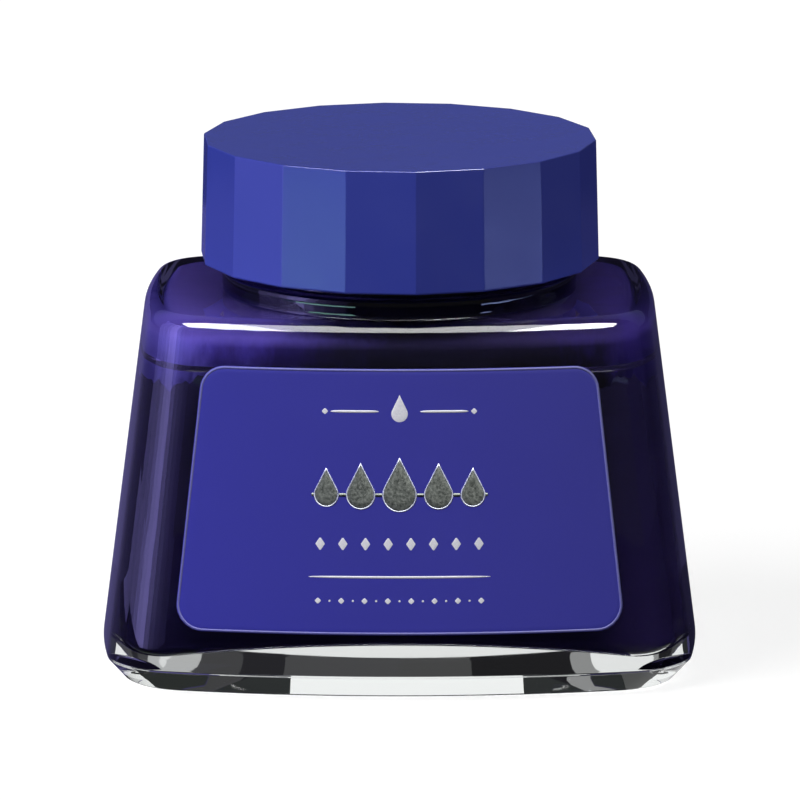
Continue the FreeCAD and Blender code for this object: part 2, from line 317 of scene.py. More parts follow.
# -------- glass bottle
def make_glass(material):
    recess_half_width = HALF_WIDTH - HEEL_INSET - 3.6 * MM
    recess_half_depth = HALF_DEPTH - HEEL_INSET - 3.6 * MM
    recess_z = 0.5 * MM
    recess_plan = plan_ring(recess_half_width, recess_half_depth, 3 * MM, FACE_RADIUS, 0)
    rings = [shrunk(recess_plan, scale, recess_z) for scale in (0.05, 0.3, 0.6, 0.85)]
    for inset, z in rounded_path([(1.5 * MM, recess_z, 0), (0.5 * MM, recess_z, 0.3 * MM),
                                  (0, 0, 0.25 * MM), (-1.0 * MM, 0, 0)], 4):
        rings.append(plan_ring(recess_half_width - inset, recess_half_depth - inset, 3 * MM - inset,
                               FACE_RADIUS - inset, z))
    wall_foot_z = HEEL_Z + 2 * MM
    heel = [(HALF_WIDTH - HEEL_INSET - 0.9 * MM, 0, 0),
            (HALF_WIDTH - HEEL_INSET, 0, 0.55 * MM),
            (HALF_WIDTH, HEEL_Z, 0.5 * MM),
            (HALF_WIDTH * body_scale(wall_foot_z), wall_foot_z, 0)]
    for r, z in rounded_path(heel, 5):
        rings.append(outer_ring(z, 0, r / HALF_WIDTH))
    round_z = SHOULDER_Z - SHOULDER_ROUND
    for k in range(1, 10):
        rings.append(outer_ring(wall_foot_z + (round_z - wall_foot_z) * k / 10))
    rings += fillet_rings(lambda wall_z, inset, z: outer_ring(z, inset, body_scale(wall_z)),
                          round_z, SHOULDER_ROUND, WALL_LEAN, math.pi / 2, 10)
    neck = [(COLLAR_RADIUS + 0.5 * MM, SHOULDER_Z, 0),
            (COLLAR_RADIUS, SHOULDER_Z, 0.12 * MM),
            (COLLAR_RADIUS, SHOULDER_Z + 0.5 * MM, 0),
            (COLLAR_RADIUS, COLLAR_TOP_Z - 0.8 * MM, 0),
            (COLLAR_RADIUS, COLLAR_TOP_Z, 0.4 * MM),
            (NECK_RADIUS, COLLAR_TOP_Z, 0.2 * MM),
            (NECK_RADIUS, COLLAR_TOP_Z + 0.5 * MM, 0)]
    rings += [circle_ring(r, z) for r, z in rounded_path(neck, 4)]
    thread = dict(start_z=NECK_THREAD_START_Z, start_angle=0, turns=1.2,
                  root_width=NECK_THREAD_ROOT_WIDTH, crest_width=NECK_THREAD_CREST_WIDTH)
    thread_steps = 52
    thread_low = COLLAR_TOP_Z + 0.6 * MM
    thread_high = RIM_Z - RIM_ROUND - 0.1 * MM
    for k in range(thread_steps + 1):
        z = thread_low + (thread_high - thread_low) * k / thread_steps
        rings.append(threaded_ring(z, NECK_RADIUS, NECK_THREAD_RADIUS, **thread))
    mouth = [(NECK_RADIUS, RIM_Z - RIM_ROUND, 0),
             (NECK_RADIUS, RIM_Z, RIM_ROUND * 0.98),
             (BORE_RADIUS, RIM_Z, RIM_ROUND * 0.98),
             (BORE_RADIUS, RIM_Z - 3 * MM, 0),
             (BORE_RADIUS, CEILING_Z, 0.8 * MM),
             (BORE_RADIUS + 1.2 * MM, CEILING_Z, 0)]
    rings += [circle_ring(r, z) for r, z in rounded_path(mouth, 6)]
    ceiling_wall_z = CEILING_Z - CEILING_ROUND
    rings += fillet_rings(inner_ring, ceiling_wall_z, CEILING_ROUND, math.pi / 2, WALL_LEAN, 6)
    for k in range(1, 9):
        rings.append(inner_ring(ceiling_wall_z + (HOLLOW_WALL_FOOT_Z - ceiling_wall_z) * k / 8))
    rings += floor_rings()[::-1]
    points, faces = skin_rings(rings, Vector((0, 0, recess_z)), Vector((0, 0, FLOOR_DOME_Z)))
    glass = mesh_piece("glass_body", points, faces, material)
    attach(glass, "bottle")
    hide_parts("glass_bottle")


# -------- ink
def make_ink(material):
    """The fill: it wets the walls, so it reaches just into the glass, and its edge climbs a little."""
    wet = 0.03 * MM
    climb = 0.7 * MM
    rings = floor_rings(wet)
    for k in range(12):
        wall_z = HOLLOW_WALL_FOOT_Z + (INK_LEVEL_Z - HOLLOW_WALL_FOOT_Z) * k / 11
        rings.append(inner_ring(wall_z, -wet))
    for inset, rise in ((0, 1.0), (0.12, 0.86), (0.35, 0.55), (0.7, 0.28), (1.3, 0.09), (2.2, 0)):
        rings.append(inner_ring(INK_LEVEL_Z, inset * MM - wet, INK_LEVEL_Z + climb * rise))
    edge = rings[-1]
    for scale in (0.8, 0.6, 0.4, 0.2, 0.05):
        rings.append(shrunk(edge, scale, INK_LEVEL_Z))
    points, faces = skin_rings(rings, Vector((0, 0, FLOOR_DOME_Z - wet)), Vector((0, 0, INK_LEVEL_Z)))
    ink = mesh_piece("ink", points, faces, material)
    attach(ink, "bottle")
    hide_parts("ink_fill")


def uneven_foot(high_ring, low_ring):
    """Ring between two others, at the uneven lower edge of the film."""
    ring = []
    for i, (high, low) in enumerate(zip(high_ring, low_ring)):
        a = TURN * i / RING_POINTS
        share = 0.45 + 0.16 * math.sin(5 * a + 1) + 0.12 * math.sin(13 * a) + 0.09 * math.sin(29 * a + 2)
        share += 0.06 * math.sin(61 * a + 4)
        ring.append(high.lerp(low, share))
    return ring


def make_ink_film(material):
    """Thin film of ink left on the walls above the level, round the ceiling and up the bore. Its material
    paints it near black up the bore, as shade under the cap, and violet towards -X, as light from that side.
    """
    def film_side(outset):
        ceiling_wall_z = CEILING_Z - CEILING_ROUND
        high_ring = inner_ring(INK_LEVEL_Z + 0.2 * MM, -outset)
        low_ring = inner_ring(INK_LEVEL_Z - 2.6 * MM, -outset)
        rings = [uneven_foot(high_ring, low_ring), inner_ring(ceiling_wall_z - 0.02 * MM, -outset)]
        shifted = lambda wall_z, inset, z: inner_ring(wall_z, inset - outset, z)
        rings += fillet_rings(shifted, ceiling_wall_z, CEILING_ROUND, WALL_LEAN, math.pi / 2, 6)
        for ring in rings[2:]:
            for p in ring:
                p.z += outset * (p.z - ceiling_wall_z) / CEILING_ROUND
        bore = [(BORE_RADIUS + 1.2 * MM, CEILING_Z + outset, 0),
                (BORE_RADIUS + outset, CEILING_Z + outset, 0.8 * MM),
                (BORE_RADIUS + outset, RIM_Z - 3 * MM, 0),
                (BORE_RADIUS + outset, RIM_Z - 1.5 * MM, 0)]
        rings += [circle_ring(r, z) for r, z in rounded_path(bore, 6)]
        return rings
    rings = film_side(0.05 * MM) + film_side(-0.03 * MM)[::-1]
    points, faces = skin_rings(rings, wrap=True)
    film = mesh_piece("ink_film", points, faces, material)
    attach(film, "bottle")


# -------- label, foil and print
LABEL_BOTTOM_Z = label_low[2]
LABEL_TOP_Z = label_high[2]
LABEL_BOTTOM_HALF = 19.8 * MM
LABEL_TOP_HALF = 17.2 * MM
LABEL_CORNER = 2.2 * MM
LABEL_THICKNESS = 0.12 * MM
MARK_BASE = LABEL_THICKNESS - 0.005 * MM     # marks start just inside the label


def front_point(x, z, proud):
    """Point that stands proud of the front face of the bottle by a distance."""
    s = body_scale(z)
    radius = FACE_RADIUS * s
    centre_y = radius - HALF_DEPTH * s
    return Vector((x, centre_y - math.sqrt(radius ** 2 - x ** 2) - proud, z))


def rounded_outline(corners, radius, arc_steps=7, edge_steps=20):
    """Closed outline of (x, z) points through rounded corners, anticlockwise seen from the front."""
    outline = []
    count = len(corners)
    ends = []
    for i in range(count):
        here = Vector(corners[i])
        back = (Vector(corners[i - 1]) - here).normalized()
        ahead = (Vector(corners[(i + 1) % count]) - here).normalized()
        half_angle = back.angle(ahead) / 2
        centre = here + (back + ahead).normalized() * radius / math.sin(half_angle)
        start = here + back * radius / math.tan(half_angle)
        end = here + ahead * radius / math.tan(half_angle)
        arc = []
        for k in range(arc_steps + 1):
            mix = start.lerp(end, k / arc_steps)
            arc.append(centre + (mix - centre).normalized() * radius)
        ends.append(arc)
    for i in range(count):
        outline += ends[i]
        start, end = ends[i][-1], ends[(i + 1) % count][0]
        outline += [start.lerp(end, k / edge_steps) for k in range(1, edge_steps)]
    return outline


def label_outline(inset):
    lean = (LABEL_BOTTOM_HALF - LABEL_TOP_HALF) / (LABEL_TOP_Z - LABEL_BOTTOM_Z)
    side_inset = inset * math.hypot(1, lean)
    bottom_half = LABEL_BOTTOM_HALF - side_inset - lean * inset
    top_half = LABEL_TOP_HALF - side_inset + lean * inset
    corners = [(-bottom_half, LABEL_BOTTOM_Z + inset), (bottom_half, LABEL_BOTTOM_Z + inset),
               (top_half, LABEL_TOP_Z - inset), (-top_half, LABEL_TOP_Z - inset)]
    return rounded_outline(corners, LABEL_CORNER - inset)


def front_rings(outlines_and_heights):
    return [[front_point(p.x, p.y, proud) for p in outline] for outline, proud in outlines_and_heights]


def scaled_outline(outline, centre, scale):
    return [centre + (p - centre) * scale for p in outline]


def make_label(material):
    centre = Vector((0, (LABEL_BOTTOM_Z + LABEL_TOP_Z) / 2))
    inner = label_outline(1.2 * MM)
    top = [(label_outline(0), 0.0), (label_outline(0), LABEL_THICKNESS - 0.03 * MM),
           (label_outline(0.01 * MM), LABEL_THICKNESS - 0.01 * MM),
           (label_outline(0.04 * MM), LABEL_THICKNESS),
           (label_outline(0.6 * MM), LABEL_THICKNESS), (inner, LABEL_THICKNESS)]
    back = [(label_outline(0.3 * MM), 0.0)]
    for scale in (0.93, 0.84, 0.74, 0.62, 0.5, 0.38, 0.26, 0.14, 0.05):
        top.append((scaled_outline(inner, centre, scale), LABEL_THICKNESS))
        back.insert(0, (scaled_outline(inner, centre, scale), 0.0))
    rings = front_rings(back + top)
    points, faces = skin_rings(rings, front_point(0, centre.y, 0), front_point(0, centre.y, LABEL_THICKNESS))
    label = mesh_piece("label", points, faces, material)
    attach(label, "bottle")
    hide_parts("front_label")


def raised_band(outer, inner, proud):
    """Closed thin band between two outlines, standing a little proud of the label."""
    rings = front_rings([(outer, MARK_BASE), (outer, LABEL_THICKNESS + proud),
                         (inner, LABEL_THICKNESS + proud), (inner, MARK_BASE)])
    return skin_rings(rings, wrap=True)


def band_on_label(name, outer, inner, proud, material):
    band = mesh_piece(name, *raised_band(outer, inner, proud), material)
    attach(band, "bottle")


def joined(parts):
    """One point and face list from several."""
    points, faces = [], []
    for part_points, part_faces in parts:
        base = len(points)
        points += part_points
        faces += [tuple(base + i for i in face) for face in part_faces]
    return points, faces


def stamped(outline, proud, edge=0.03 * MM):
    """Low pillow over a small outline on the label, with a soft edge."""
    centre = sum(outline, Vector((0, 0))) / len(outline)
    reach = max((p - centre).length for p in outline)
    soft = max(1 - edge / reach, 0.6)
    rings = front_rings([(scaled_outline(outline, centre, 0.4), MARK_BASE), (outline, MARK_BASE),
                         (outline, LABEL_THICKNESS + proud * 0.6),
                         (scaled_outline(outline, centre, soft), LABEL_THICKNESS + proud),
                         (scaled_outline(outline, centre, 0.5), LABEL_THICKNESS + proud)])
    return skin_rings(rings, front_point(centre.x, centre.y, MARK_BASE),
                      front_point(centre.x, centre.y, LABEL_THICKNESS + proud))


def drop_outline(x, z, radius, tip):
    """Ink drop outline: a circle's lower part and two curved sides that meet at the tip."""
    outline = []
    touch = math.asin(1 / tip)
    steps = 26
    for k in range(steps + 1):
        angle = touch + (-math.pi - 2 * touch) * k / steps
        outline.append(Vector((x + radius * math.cos(angle), z + radius * math.sin(angle))))
    left = outline[-1]
    right = outline[0]
    top = Vector((x, z + tip * radius))
    side = 6
    outline += [left.lerp(top, k / side) for k in range(1, side + 1)]
    outline += [top.lerp(right, k / side) for k in range(1, side)]
    return outline[::-1]


def make_foil(fill_material, edge_material):
    """Row of silver drops on a thin stem, each with a bright raised edge round a darker field."""
    places = (0, 3.4 * MM, 6.4 * MM)
    radius = 1.5 * MM
    tip = 2.2
    z = foil_low[2] + radius
    fields, edges = [], []
    for step, place in enumerate(places):
        size = radius * 0.85 ** step
        for x in sorted({-place, place}):
            outer = drop_outline(x, z, size, tip)
            inner = drop_outline(x, z, size - 0.11 * MM, tip)
            fields.append(stamped(drop_outline(x, z, size - 0.05 * MM, tip), 0.015 * MM))
            edges.append(raised_band(outer, inner, 0.03 * MM))
    for side in (-1, 1):
        for place, half_length in ((1.81, 0.35), (4.99, 0.36), (7.57, 0.13)):
            fields.append(bar(side * place * MM, z, half_length * MM, 0.15 * MM, 0.027 * MM))
    foil = mesh_piece("foil_drops", *joined(fields), fill_material)
    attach(foil, "bottle")
    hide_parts("label_foil")
    rim = mesh_piece("foil_edges", *joined(edges), edge_material)
    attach(rim, "bottle")


def bar(x, z, half_length, half_height, proud):
    """Thin round-ended bar on the label, swept in short steps so that it follows the face."""
    steps = 24
    rings = []
    for k in range(steps + 1):
        along = -math.cos(math.pi * k / steps)
        height = half_height * max(math.sqrt(1 - along ** 6), 0.15)
        place = x + half_length * along
        rings.append([front_point(place, z + height, MARK_BASE),
                      front_point(place, z + height, LABEL_THICKNESS + proud),
                      front_point(place, z - height, LABEL_THICKNESS + proud),
                      front_point(place, z - height, MARK_BASE)])
    first = sum(rings[0], Vector()) / 4
    last = sum(rings[-1], Vector()) / 4
    return skin_rings(rings, first, last)


def lozenge_outline(x, z, half_width, half_height):
    corners = [(x - half_width, z), (x, z - half_height), (x + half_width, z), (x, z + half_height)]
    return rounded_outline(corners, 0.1 * MM, 3, 3)


def make_print(material):
    """White print: a small drop between rules at the top, lozenges, a rule and a fine dotted line."""
    proud = 0.012 * MM
    marks = [drop_outline(0, 25.2 * MM, 0.72 * MM, 2.3)]
    for side in (-1, 1):
        marks.append(lozenge_outline(side * 6.5 * MM, 25.4 * MM, 0.3 * MM, 0.3 * MM))
    for k in range(8):
        marks.append(lozenge_outline((k - 3.5) * 1.98 * MM, 13.8 * MM, 0.42 * MM, 0.62 * MM))
    for k in range(15):
        size = 0.3 if k % 2 == 0 else 0.14
        marks.append(lozenge_outline((k - 7) * 1.02 * MM, 8.8 * MM, size * MM, size * MM))
    parts = [stamped(mark, proud) for mark in marks]
    parts += [bar(side * 3.9 * MM, 25.4 * MM, 2.1 * MM, 0.11 * MM, proud) for side in (-1, 1)]
    parts.append(bar(0, 10.9 * MM, 7.95 * MM, 0.1 * MM, proud))
    white = mesh_piece("label_print", *joined(parts), material)
    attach(white, "bottle")


# -------- cap and liner
def facet_ring(radius, z, inset=0):
    """Ring of the faceted outside, with each upright edge softened over a short arc."""
    ring = []
    half = math.pi / CAP_FACETS
    apothem = radius * math.cos(half) - inset
    reach = apothem * math.tan(half)
    arc_radius = 0.45 * MM
    flat = reach - arc_radius * math.tan(half)
    arc_steps = 4
    for i in range(CAP_FACETS):
        middle = CAP_EDGE_ANGLE - math.pi / 2 + (i + 0.5) * 2 * half
        normal = Vector((math.cos(middle), math.sin(middle)))
        along = Vector((-normal.y, normal.x))
        for share in (-1, -0.5, 0, 0.5, 1):
            p = normal * apothem + along * flat * share
            ring.append(Vector((p.x, p.y, z)))
        centre = normal * (apothem - arc_radius) + along * flat
        for k in range(1, arc_steps):
            angle = middle + 2 * half * k / arc_steps
            p = centre + Vector((math.cos(angle), math.sin(angle))) * arc_radius
            ring.append(Vector((p.x, p.y, z)))
    return ring


def cap_circle(radius, z, thread=None):
    """Ring of the cap's inside, with points at the same turns as the facets."""
    ring = []
    for p in facet_ring(CAP_BOTTOM_RADIUS, z):
        angle = math.atan2(p.y, p.x)
        r = radius
        if thread:
            r += (CAP_THREAD_RADIUS - radius) * thread_share(angle % TURN, z, **thread)
        ring.append(Vector((r * math.cos(angle), r * math.sin(angle), z)))
    return ring


def make_cap(material):
    bottom_z, top_z = cap_low[2], cap_high[2]
    draft = (CAP_TOP_RADIUS - CAP_BOTTOM_RADIUS) / (top_z - bottom_z)

    def side(z, inset=0):
        return facet_ring(CAP_BOTTOM_RADIUS + draft * (z - bottom_z), z, inset)

    foot_round = 0.2 * MM
    top_round = 0.1 * MM
    rings = []
    for k in range(5):
        angle = -math.pi / 2 + math.pi / 2 * k / 4
        rings.append(side(bottom_z + foot_round * (1 + math.sin(angle)), foot_round * (1 - math.cos(angle))))
    for k in range(1, 8):
        rings.append(side(bottom_z + foot_round + (top_z - top_round - bottom_z - foot_round) * k / 8))
    for k in range(6):
        angle = math.pi / 2 * k / 5
        rings.append(side(top_z - top_round * (1 - math.sin(angle)), top_round * (1 - math.cos(angle))))
    top_edge = side(top_z, top_round)
    outer = rings + [shrunk(top_edge, scale, top_z) for scale in (0.97, 0.9, 0.75, 0.55, 0.35, 0.15)]
    thread = dict(start_z=CAP_THREAD_START_Z, start_angle=cap_thread_angle(), turns=1.0,
                  root_width=1.7 * MM, crest_width=CAP_THREAD_CREST_WIDTH)
    inside = [cap_circle(CAP_BORE_RADIUS + 0.3 * MM, bottom_z),
              cap_circle(CAP_BORE_RADIUS, bottom_z + 0.3 * MM)]
    thread_low, thread_high = bottom_z + 0.35 * MM, 42.6 * MM
    steps = 48
    for k in range(steps + 1):
        z = thread_low + (thread_high - thread_low) * k / steps
        inside.append(cap_circle(CAP_BORE_RADIUS, z, thread))
    inner_top_z = top_z - CAP_TOP_WALL
    bead = [(CAP_BORE_RADIUS, 42.7 * MM, 0), (CAP_BORE_RADIUS - 0.6 * MM, 43.2 * MM, 0.25 * MM),
            (CAP_BORE_RADIUS, 43.5 * MM, 0.1 * MM), (CAP_BORE_RADIUS, inner_top_z, 0.2 * MM),
            (CAP_BORE_RADIUS - 1 * MM, inner_top_z, 0)]
    inside += [cap_circle(r, z) for r, z in rounded_path(bead, 4)]
    inside += [cap_circle(CAP_BORE_RADIUS * scale, inner_top_z) for scale in (0.7, 0.4, 0.1)]
    rings = inside[::-1] + outer
    points, faces = skin_rings(rings, Vector((0, 0, inner_top_z)), Vector((0, 0, top_z)))
    cap = mesh_piece("cap", points, faces, material)
    even = cap.modifiers.new("even_normals", "WEIGHTED_NORMAL")
    even.keep_sharp = True
    even.weight = 80
    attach(cap, "cap")
    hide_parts("cap_shell")


def cap_thread_angle():
    """Start angle of the cap's thread, which lies just under the neck's thread."""
    flank_share = (CAP_THREAD_RADIUS - NECK_RADIUS) / (NECK_THREAD_RADIUS - NECK_RADIUS)
    neck_width = NECK_THREAD_ROOT_WIDTH + (NECK_THREAD_CREST_WIDTH - NECK_THREAD_ROOT_WIDTH) * flank_share
    below = (neck_width + CAP_THREAD_CREST_WIDTH) / 2 + THREAD_AXIAL_GAP
    return (TURN * (CAP_THREAD_START_Z - NECK_THREAD_START_Z + below) / PITCH) % TURN


def disc(name, radius, low_z, high_z, edge, material, node):
    """Round disc with softened edges."""
    profile = [(radius * 0.1, low_z, 0), (radius, low_z, edge),
               (radius, high_z, edge), (radius * 0.1, high_z, 0)]
    path = [circle_ring(r, z) for r, z in rounded_path(profile, 4)]
    bottom = [circle_ring(radius * s, low_z) for s in (0.1, 0.4, 0.7)]
    top = [circle_ring(radius * s, high_z) for s in (0.7, 0.4, 0.1)]
    rings = bottom + path[1:-1] + top
    points, faces = skin_rings(rings, Vector((0, 0, low_z)), Vector((0, 0, high_z)))
    piece = mesh_piece(name, points, faces, material)
    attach(piece, "liner")
    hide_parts(node)


# -------- materials
def new_material(name, kind="ShaderNodeBsdfPrincipled"):
    """Material whose surface is one shader."""
    material = bpy.data.materials.new(name)
    material.use_nodes = True
    tree = material.node_tree
    tree.nodes.clear()
    output = tree.nodes.new("ShaderNodeOutputMaterial")
    shader = tree.nodes.new(kind)
    tree.links.new(shader.outputs[0], output.inputs["Surface"])
    return material, tree, shader


def set_inputs(node, values):
    """Set a node's own sockets by name."""
    for name, value in values.items():
        node.inputs[name].default_value = value


def noise_texture(tree, scale, detail=4, roughness=0.6, stretch=(1, 1, 1)):
    """Noise in object coordinates, with scale in features per metre."""
    coordinates = tree.nodes.new("ShaderNodeTexCoord")
    mapping = tree.nodes.new("ShaderNodeMapping")
    set_inputs(mapping, {"Scale": stretch})
    texture = tree.nodes.new("ShaderNodeTexNoise")
    set_inputs(texture, {"Scale": scale, "Detail": detail, "Roughness": roughness})
    tree.links.new(coordinates.outputs["Object"], mapping.inputs["Vector"])
    tree.links.new(mapping.outputs["Vector"], texture.inputs["Vector"])
    return texture.outputs["Fac"]


def ramp(tree, source, stops):
    """Colour ramp over a texture's factor, with (place, colour) stops."""
    node = tree.nodes.new("ShaderNodeValToRGB")
    elements = node.color_ramp.elements
    while len(elements) < len(stops):
        elements.new(0.5)
    for element, (place, colour) in zip(elements, stops):
        element.position = place
        element.color = (*colour, 1)
    tree.links.new(source, node.inputs["Fac"])
    return node.outputs["Color"]


def colour_over(tree, shader, source, stops):
    """Base colour that follows a texture, with (place, colour) stops."""
    tree.links.new(ramp(tree, source, stops), shader.inputs["Base Color"])


# places of the colour sockets on a Mix node
FIRST_COLOUR = 6
SECOND_COLOUR = 7
MIXED_COLOUR = 2


def colour_mix(tree, share, first):
    """Mix node from a first colour to a second one, which the caller sets."""
    node = tree.nodes.new("ShaderNodeMix")
    node.data_type = "RGBA"
    tree.links.new(share, node.inputs["Factor"])
    tree.links.new(first, node.inputs[FIRST_COLOUR])
    return node


def to_range(tree, source, low, high, from_low=0.3, from_high=0.7):
    node = tree.nodes.new("ShaderNodeMapRange")
    set_inputs(node, {"From Min": from_low, "From Max": from_high, "To Min": low, "To Max": high})
    tree.links.new(source, node.inputs["Value"])
    return node.outputs["Result"]


def add_bump(tree, shader, source, distance, strength):
    bump = tree.nodes.new("ShaderNodeBump")
    set_inputs(bump, {"Strength": strength, "Distance": distance})
    tree.links.new(source, bump.inputs["Height"])
    tree.links.new(bump.outputs["Normal"], shader.inputs["Normal"])


def glass_material():
    """Clear pressed glass with a faint waviness."""
    material, tree, shader = new_material("clear_glass")
    set_inputs(shader, {"Base Color": (0.94, 0.965, 0.955, 1), "Transmission Weight": 1, "IOR": 1.52})
    wave = noise_texture(tree, 90, 2, 0.4)
    smear = noise_texture(tree, 300, 3, 0.5)
    tree.links.new(to_range(tree, smear, 0.0, 0.03), shader.inputs["Roughness"])
    add_bump(tree, shader, wave, 0.02 * MM, 0.35)
    return material


def ink_material():
    """Dense blue-violet ink, which mirrors at grazing angles because glass is the denser medium."""
    material, tree, shader = new_material("ink")
    cloud = noise_texture(tree, 60, 3, 0.5)
    colour_over(tree, shader, cloud, [(0.35, (0.004, 0.003, 0.014)), (0.7, (0.006, 0.004, 0.02))])
    set_inputs(shader, {"Roughness": 0.3, "IOR": 1.1, "Specular IOR Level": 0})
    mirror = tree.nodes.new("ShaderNodeBsdfGlossy")
    set_inputs(mirror, {"Roughness": 0.02, "Color": (0.95, 0.95, 0.95, 1)})
    grazing = tree.nodes.new("ShaderNodeFresnel")
    set_inputs(grazing, {"IOR": 1.34 / 1.52})
    mix = tree.nodes.new("ShaderNodeMixShader")
    tree.links.new(grazing.outputs["Fac"], mix.inputs["Fac"])
    tree.links.new(shader.outputs["BSDF"], mix.inputs[1])
    tree.links.new(mirror.outputs["BSDF"], mix.inputs[2])
    output = [node for node in tree.nodes if node.type == "OUTPUT_MATERIAL"][0]
    tree.links.new(mix.outputs["Shader"], output.inputs["Surface"])
    return material


def film_material():
    """Ink left clinging to the glass, coloured by its own position: violet towards -X and near black
    elsewhere, painted light from the -X side; lighter over the ceiling, painted light from above; near black
    up the bore, painted shade under the cap.
    """
    material, tree, shader = new_material("ink_film")
    set_inputs(shader, {"Roughness": 0.6, "IOR": 1.1, "Specular IOR Level": 0})
    coordinates = tree.nodes.new("ShaderNodeTexCoord")
    split = tree.nodes.new("ShaderNodeSeparateXYZ")
    tree.links.new(coordinates.outputs["Object"], split.inputs["Vector"])
    runs = noise_texture(tree, 260, 5, 0.65, (1, 1, 0.4))
    uneven = tree.nodes.new("ShaderNodeMath")
    uneven.operation = "ADD"
    # Place along the painted light: 0 at the lit -X side, 1 at the shaded +X side, made a little uneven by
    # noise.
    tree.links.new(to_range(tree, split.outputs["X"], 0.0, 1.0, -20 * MM, 20 * MM), uneven.inputs[0])
    tree.links.new(to_range(tree, runs, -0.1, 0.1), uneven.inputs[1])
    # Painted light: both ramps run from violet at -X to near black, with a faint violet again at the +X end,
    # as if lit from the -X side; the ceiling's ramp is lighter, as if lit from above.
    ceiling = ramp(tree, uneven.outputs["Value"],
                   [(0.0, (0.045, 0.031, 0.17)), (0.25, (0.034, 0.024, 0.137)), (0.5, (0.011, 0.009, 0.028)),
                    (0.8, (0.011, 0.008, 0.032)), (1.0, (0.015, 0.0095, 0.068))])
    walls = ramp(tree, uneven.outputs["Value"],
                 [(0.0, (0.045, 0.034, 0.2)), (0.12, (0.019, 0.0125, 0.107)), (0.25, (0.0065, 0.004, 0.036)),
                  (0.42, (0.003, 0.0025, 0.009)), (0.85, (0.002, 0.0015, 0.006)),
                  (0.97, (0.007, 0.004, 0.04))])
    on_ceiling = to_range(tree, split.outputs["Z"], 0.0, 1.0, 30.3 * MM, 31.2 * MM)
    # Painted shade: above the ceiling, up the bore and under the cap, the film turns near black.
    painted_bore_shade = to_range(tree, split.outputs["Z"], 0.0, 1.0, 31.6 * MM, 33 * MM)
    hollow = colour_mix(tree, on_ceiling, walls)
    tree.links.new(ceiling, hollow.inputs[SECOND_COLOUR])
    whole = colour_mix(tree, painted_bore_shade, hollow.outputs[MIXED_COLOUR])
    whole.inputs[SECOND_COLOUR].default_value = (0.003, 0.003, 0.009, 1)
    tree.links.new(whole.outputs[MIXED_COLOUR], shader.inputs["Base Color"])
    return material


def label_material():
    """Blue printed paper with a satin varnish over its fibres."""
    material, tree, shader = new_material("label_paper")
    tone = noise_texture(tree, 40, 3, 0.5)
    colour_over(tree, shader, tone, [(0.3, (0.022, 0.022, 0.385)), (0.7, (0.026, 0.026, 0.415))])
    grain = noise_texture(tree, 5200, 3, 0.6)
    tree.links.new(to_range(tree, grain, 0.5, 0.66), shader.inputs["Roughness"])
    set_inputs(shader, {"Specular IOR Level": 0.15})
    add_bump(tree, shader, grain, 0.01 * MM, 0.4)
    return material


def border_material():
    """Lighter cut edge of the label."""
    material, tree, shader = new_material("label_edge")
    fibre = noise_texture(tree, 6000, 3, 0.6)
    colour_over(tree, shader, fibre, [(0.3, (0.05, 0.05, 0.36)), (0.7, (0.075, 0.075, 0.42))])
    set_inputs(shader, {"Roughness": 0.7})
    return material


def print_material():
    """White ink printed on the label."""
    material, tree, shader = new_material("white_print")
    speck = noise_texture(tree, 7000, 3, 0.6)
    colour_over(tree, shader, speck, [(0.3, (0.78, 0.78, 0.9)), (0.65, (0.9, 0.9, 0.97))])
    set_inputs(shader, {"Roughness": 0.6})
    return material


def foil_material(name, low, high, roughness):
    """Hot-stamped metal foil with a fine crystal grain."""
    material, tree, shader = new_material(name)
    set_inputs(shader, {"Metallic": 1})
    grain = noise_texture(tree, 4200, 4, 0.7)
    tree.links.new(ramp(tree, grain, [(0.3, low), (0.7, high)]), shader.inputs["Base Color"])
    uneven = to_range(tree, grain, roughness - 0.1, roughness + 0.1)
    tree.links.new(uneven, shader.inputs["Roughness"])
    add_bump(tree, shader, grain, 0.02 * MM, 0.5)
    return material


def cap_material():
    """Blue moulded plastic, satin, with a fine moulded grain and an uneven sheen."""
    material, tree, shader = new_material("cap_plastic")
    tone = noise_texture(tree, 70, 4, 0.55)
    colour_over(tree, shader, tone, [(0.3, (0.036, 0.053, 0.395)), (0.7, (0.038, 0.056, 0.41))])
    grain = noise_texture(tree, 3800, 3, 0.6)
    rub = noise_texture(tree, 260, 5, 0.65)
    tree.links.new(to_range(tree, rub, 0.2, 0.26), shader.inputs["Roughness"])
    add_bump(tree, shader, grain, 0.006 * MM, 0.5)
    return material


def foam_material():
    """Closed-cell foam."""
    material, tree, shader = new_material("liner_foam")
    cells = tree.nodes.new("ShaderNodeTexVoronoi")
    set_inputs(cells, {"Scale": 2600})
    coordinates = tree.nodes.new("ShaderNodeTexCoord")
    tree.links.new(coordinates.outputs["Object"], cells.inputs["Vector"])
    colour_over(tree, shader, cells.outputs["Distance"],
                [(0.0, (0.7, 0.7, 0.68)), (0.6, (0.85, 0.85, 0.83))])
    set_inputs(shader, {"Roughness": 0.8})
    add_bump(tree, shader, cells.outputs["Distance"], 0.05 * MM, 0.6)
    return material


def film_disc_material():
    """White facing film, stained by the ink that has touched it."""
    material, tree, shader = new_material("liner_film")
    stain = noise_texture(tree, 240, 5, 0.6)
    colour_over(tree, shader, stain,
                [(0.42, (0.86, 0.87, 0.88)), (0.56, (0.55, 0.52, 0.78)), (0.66, (0.12, 0.09, 0.4))])
    set_inputs(shader, {"Roughness": 0.25})
    add_bump(tree, shader, stain, 0.02 * MM, 0.3)
    return material


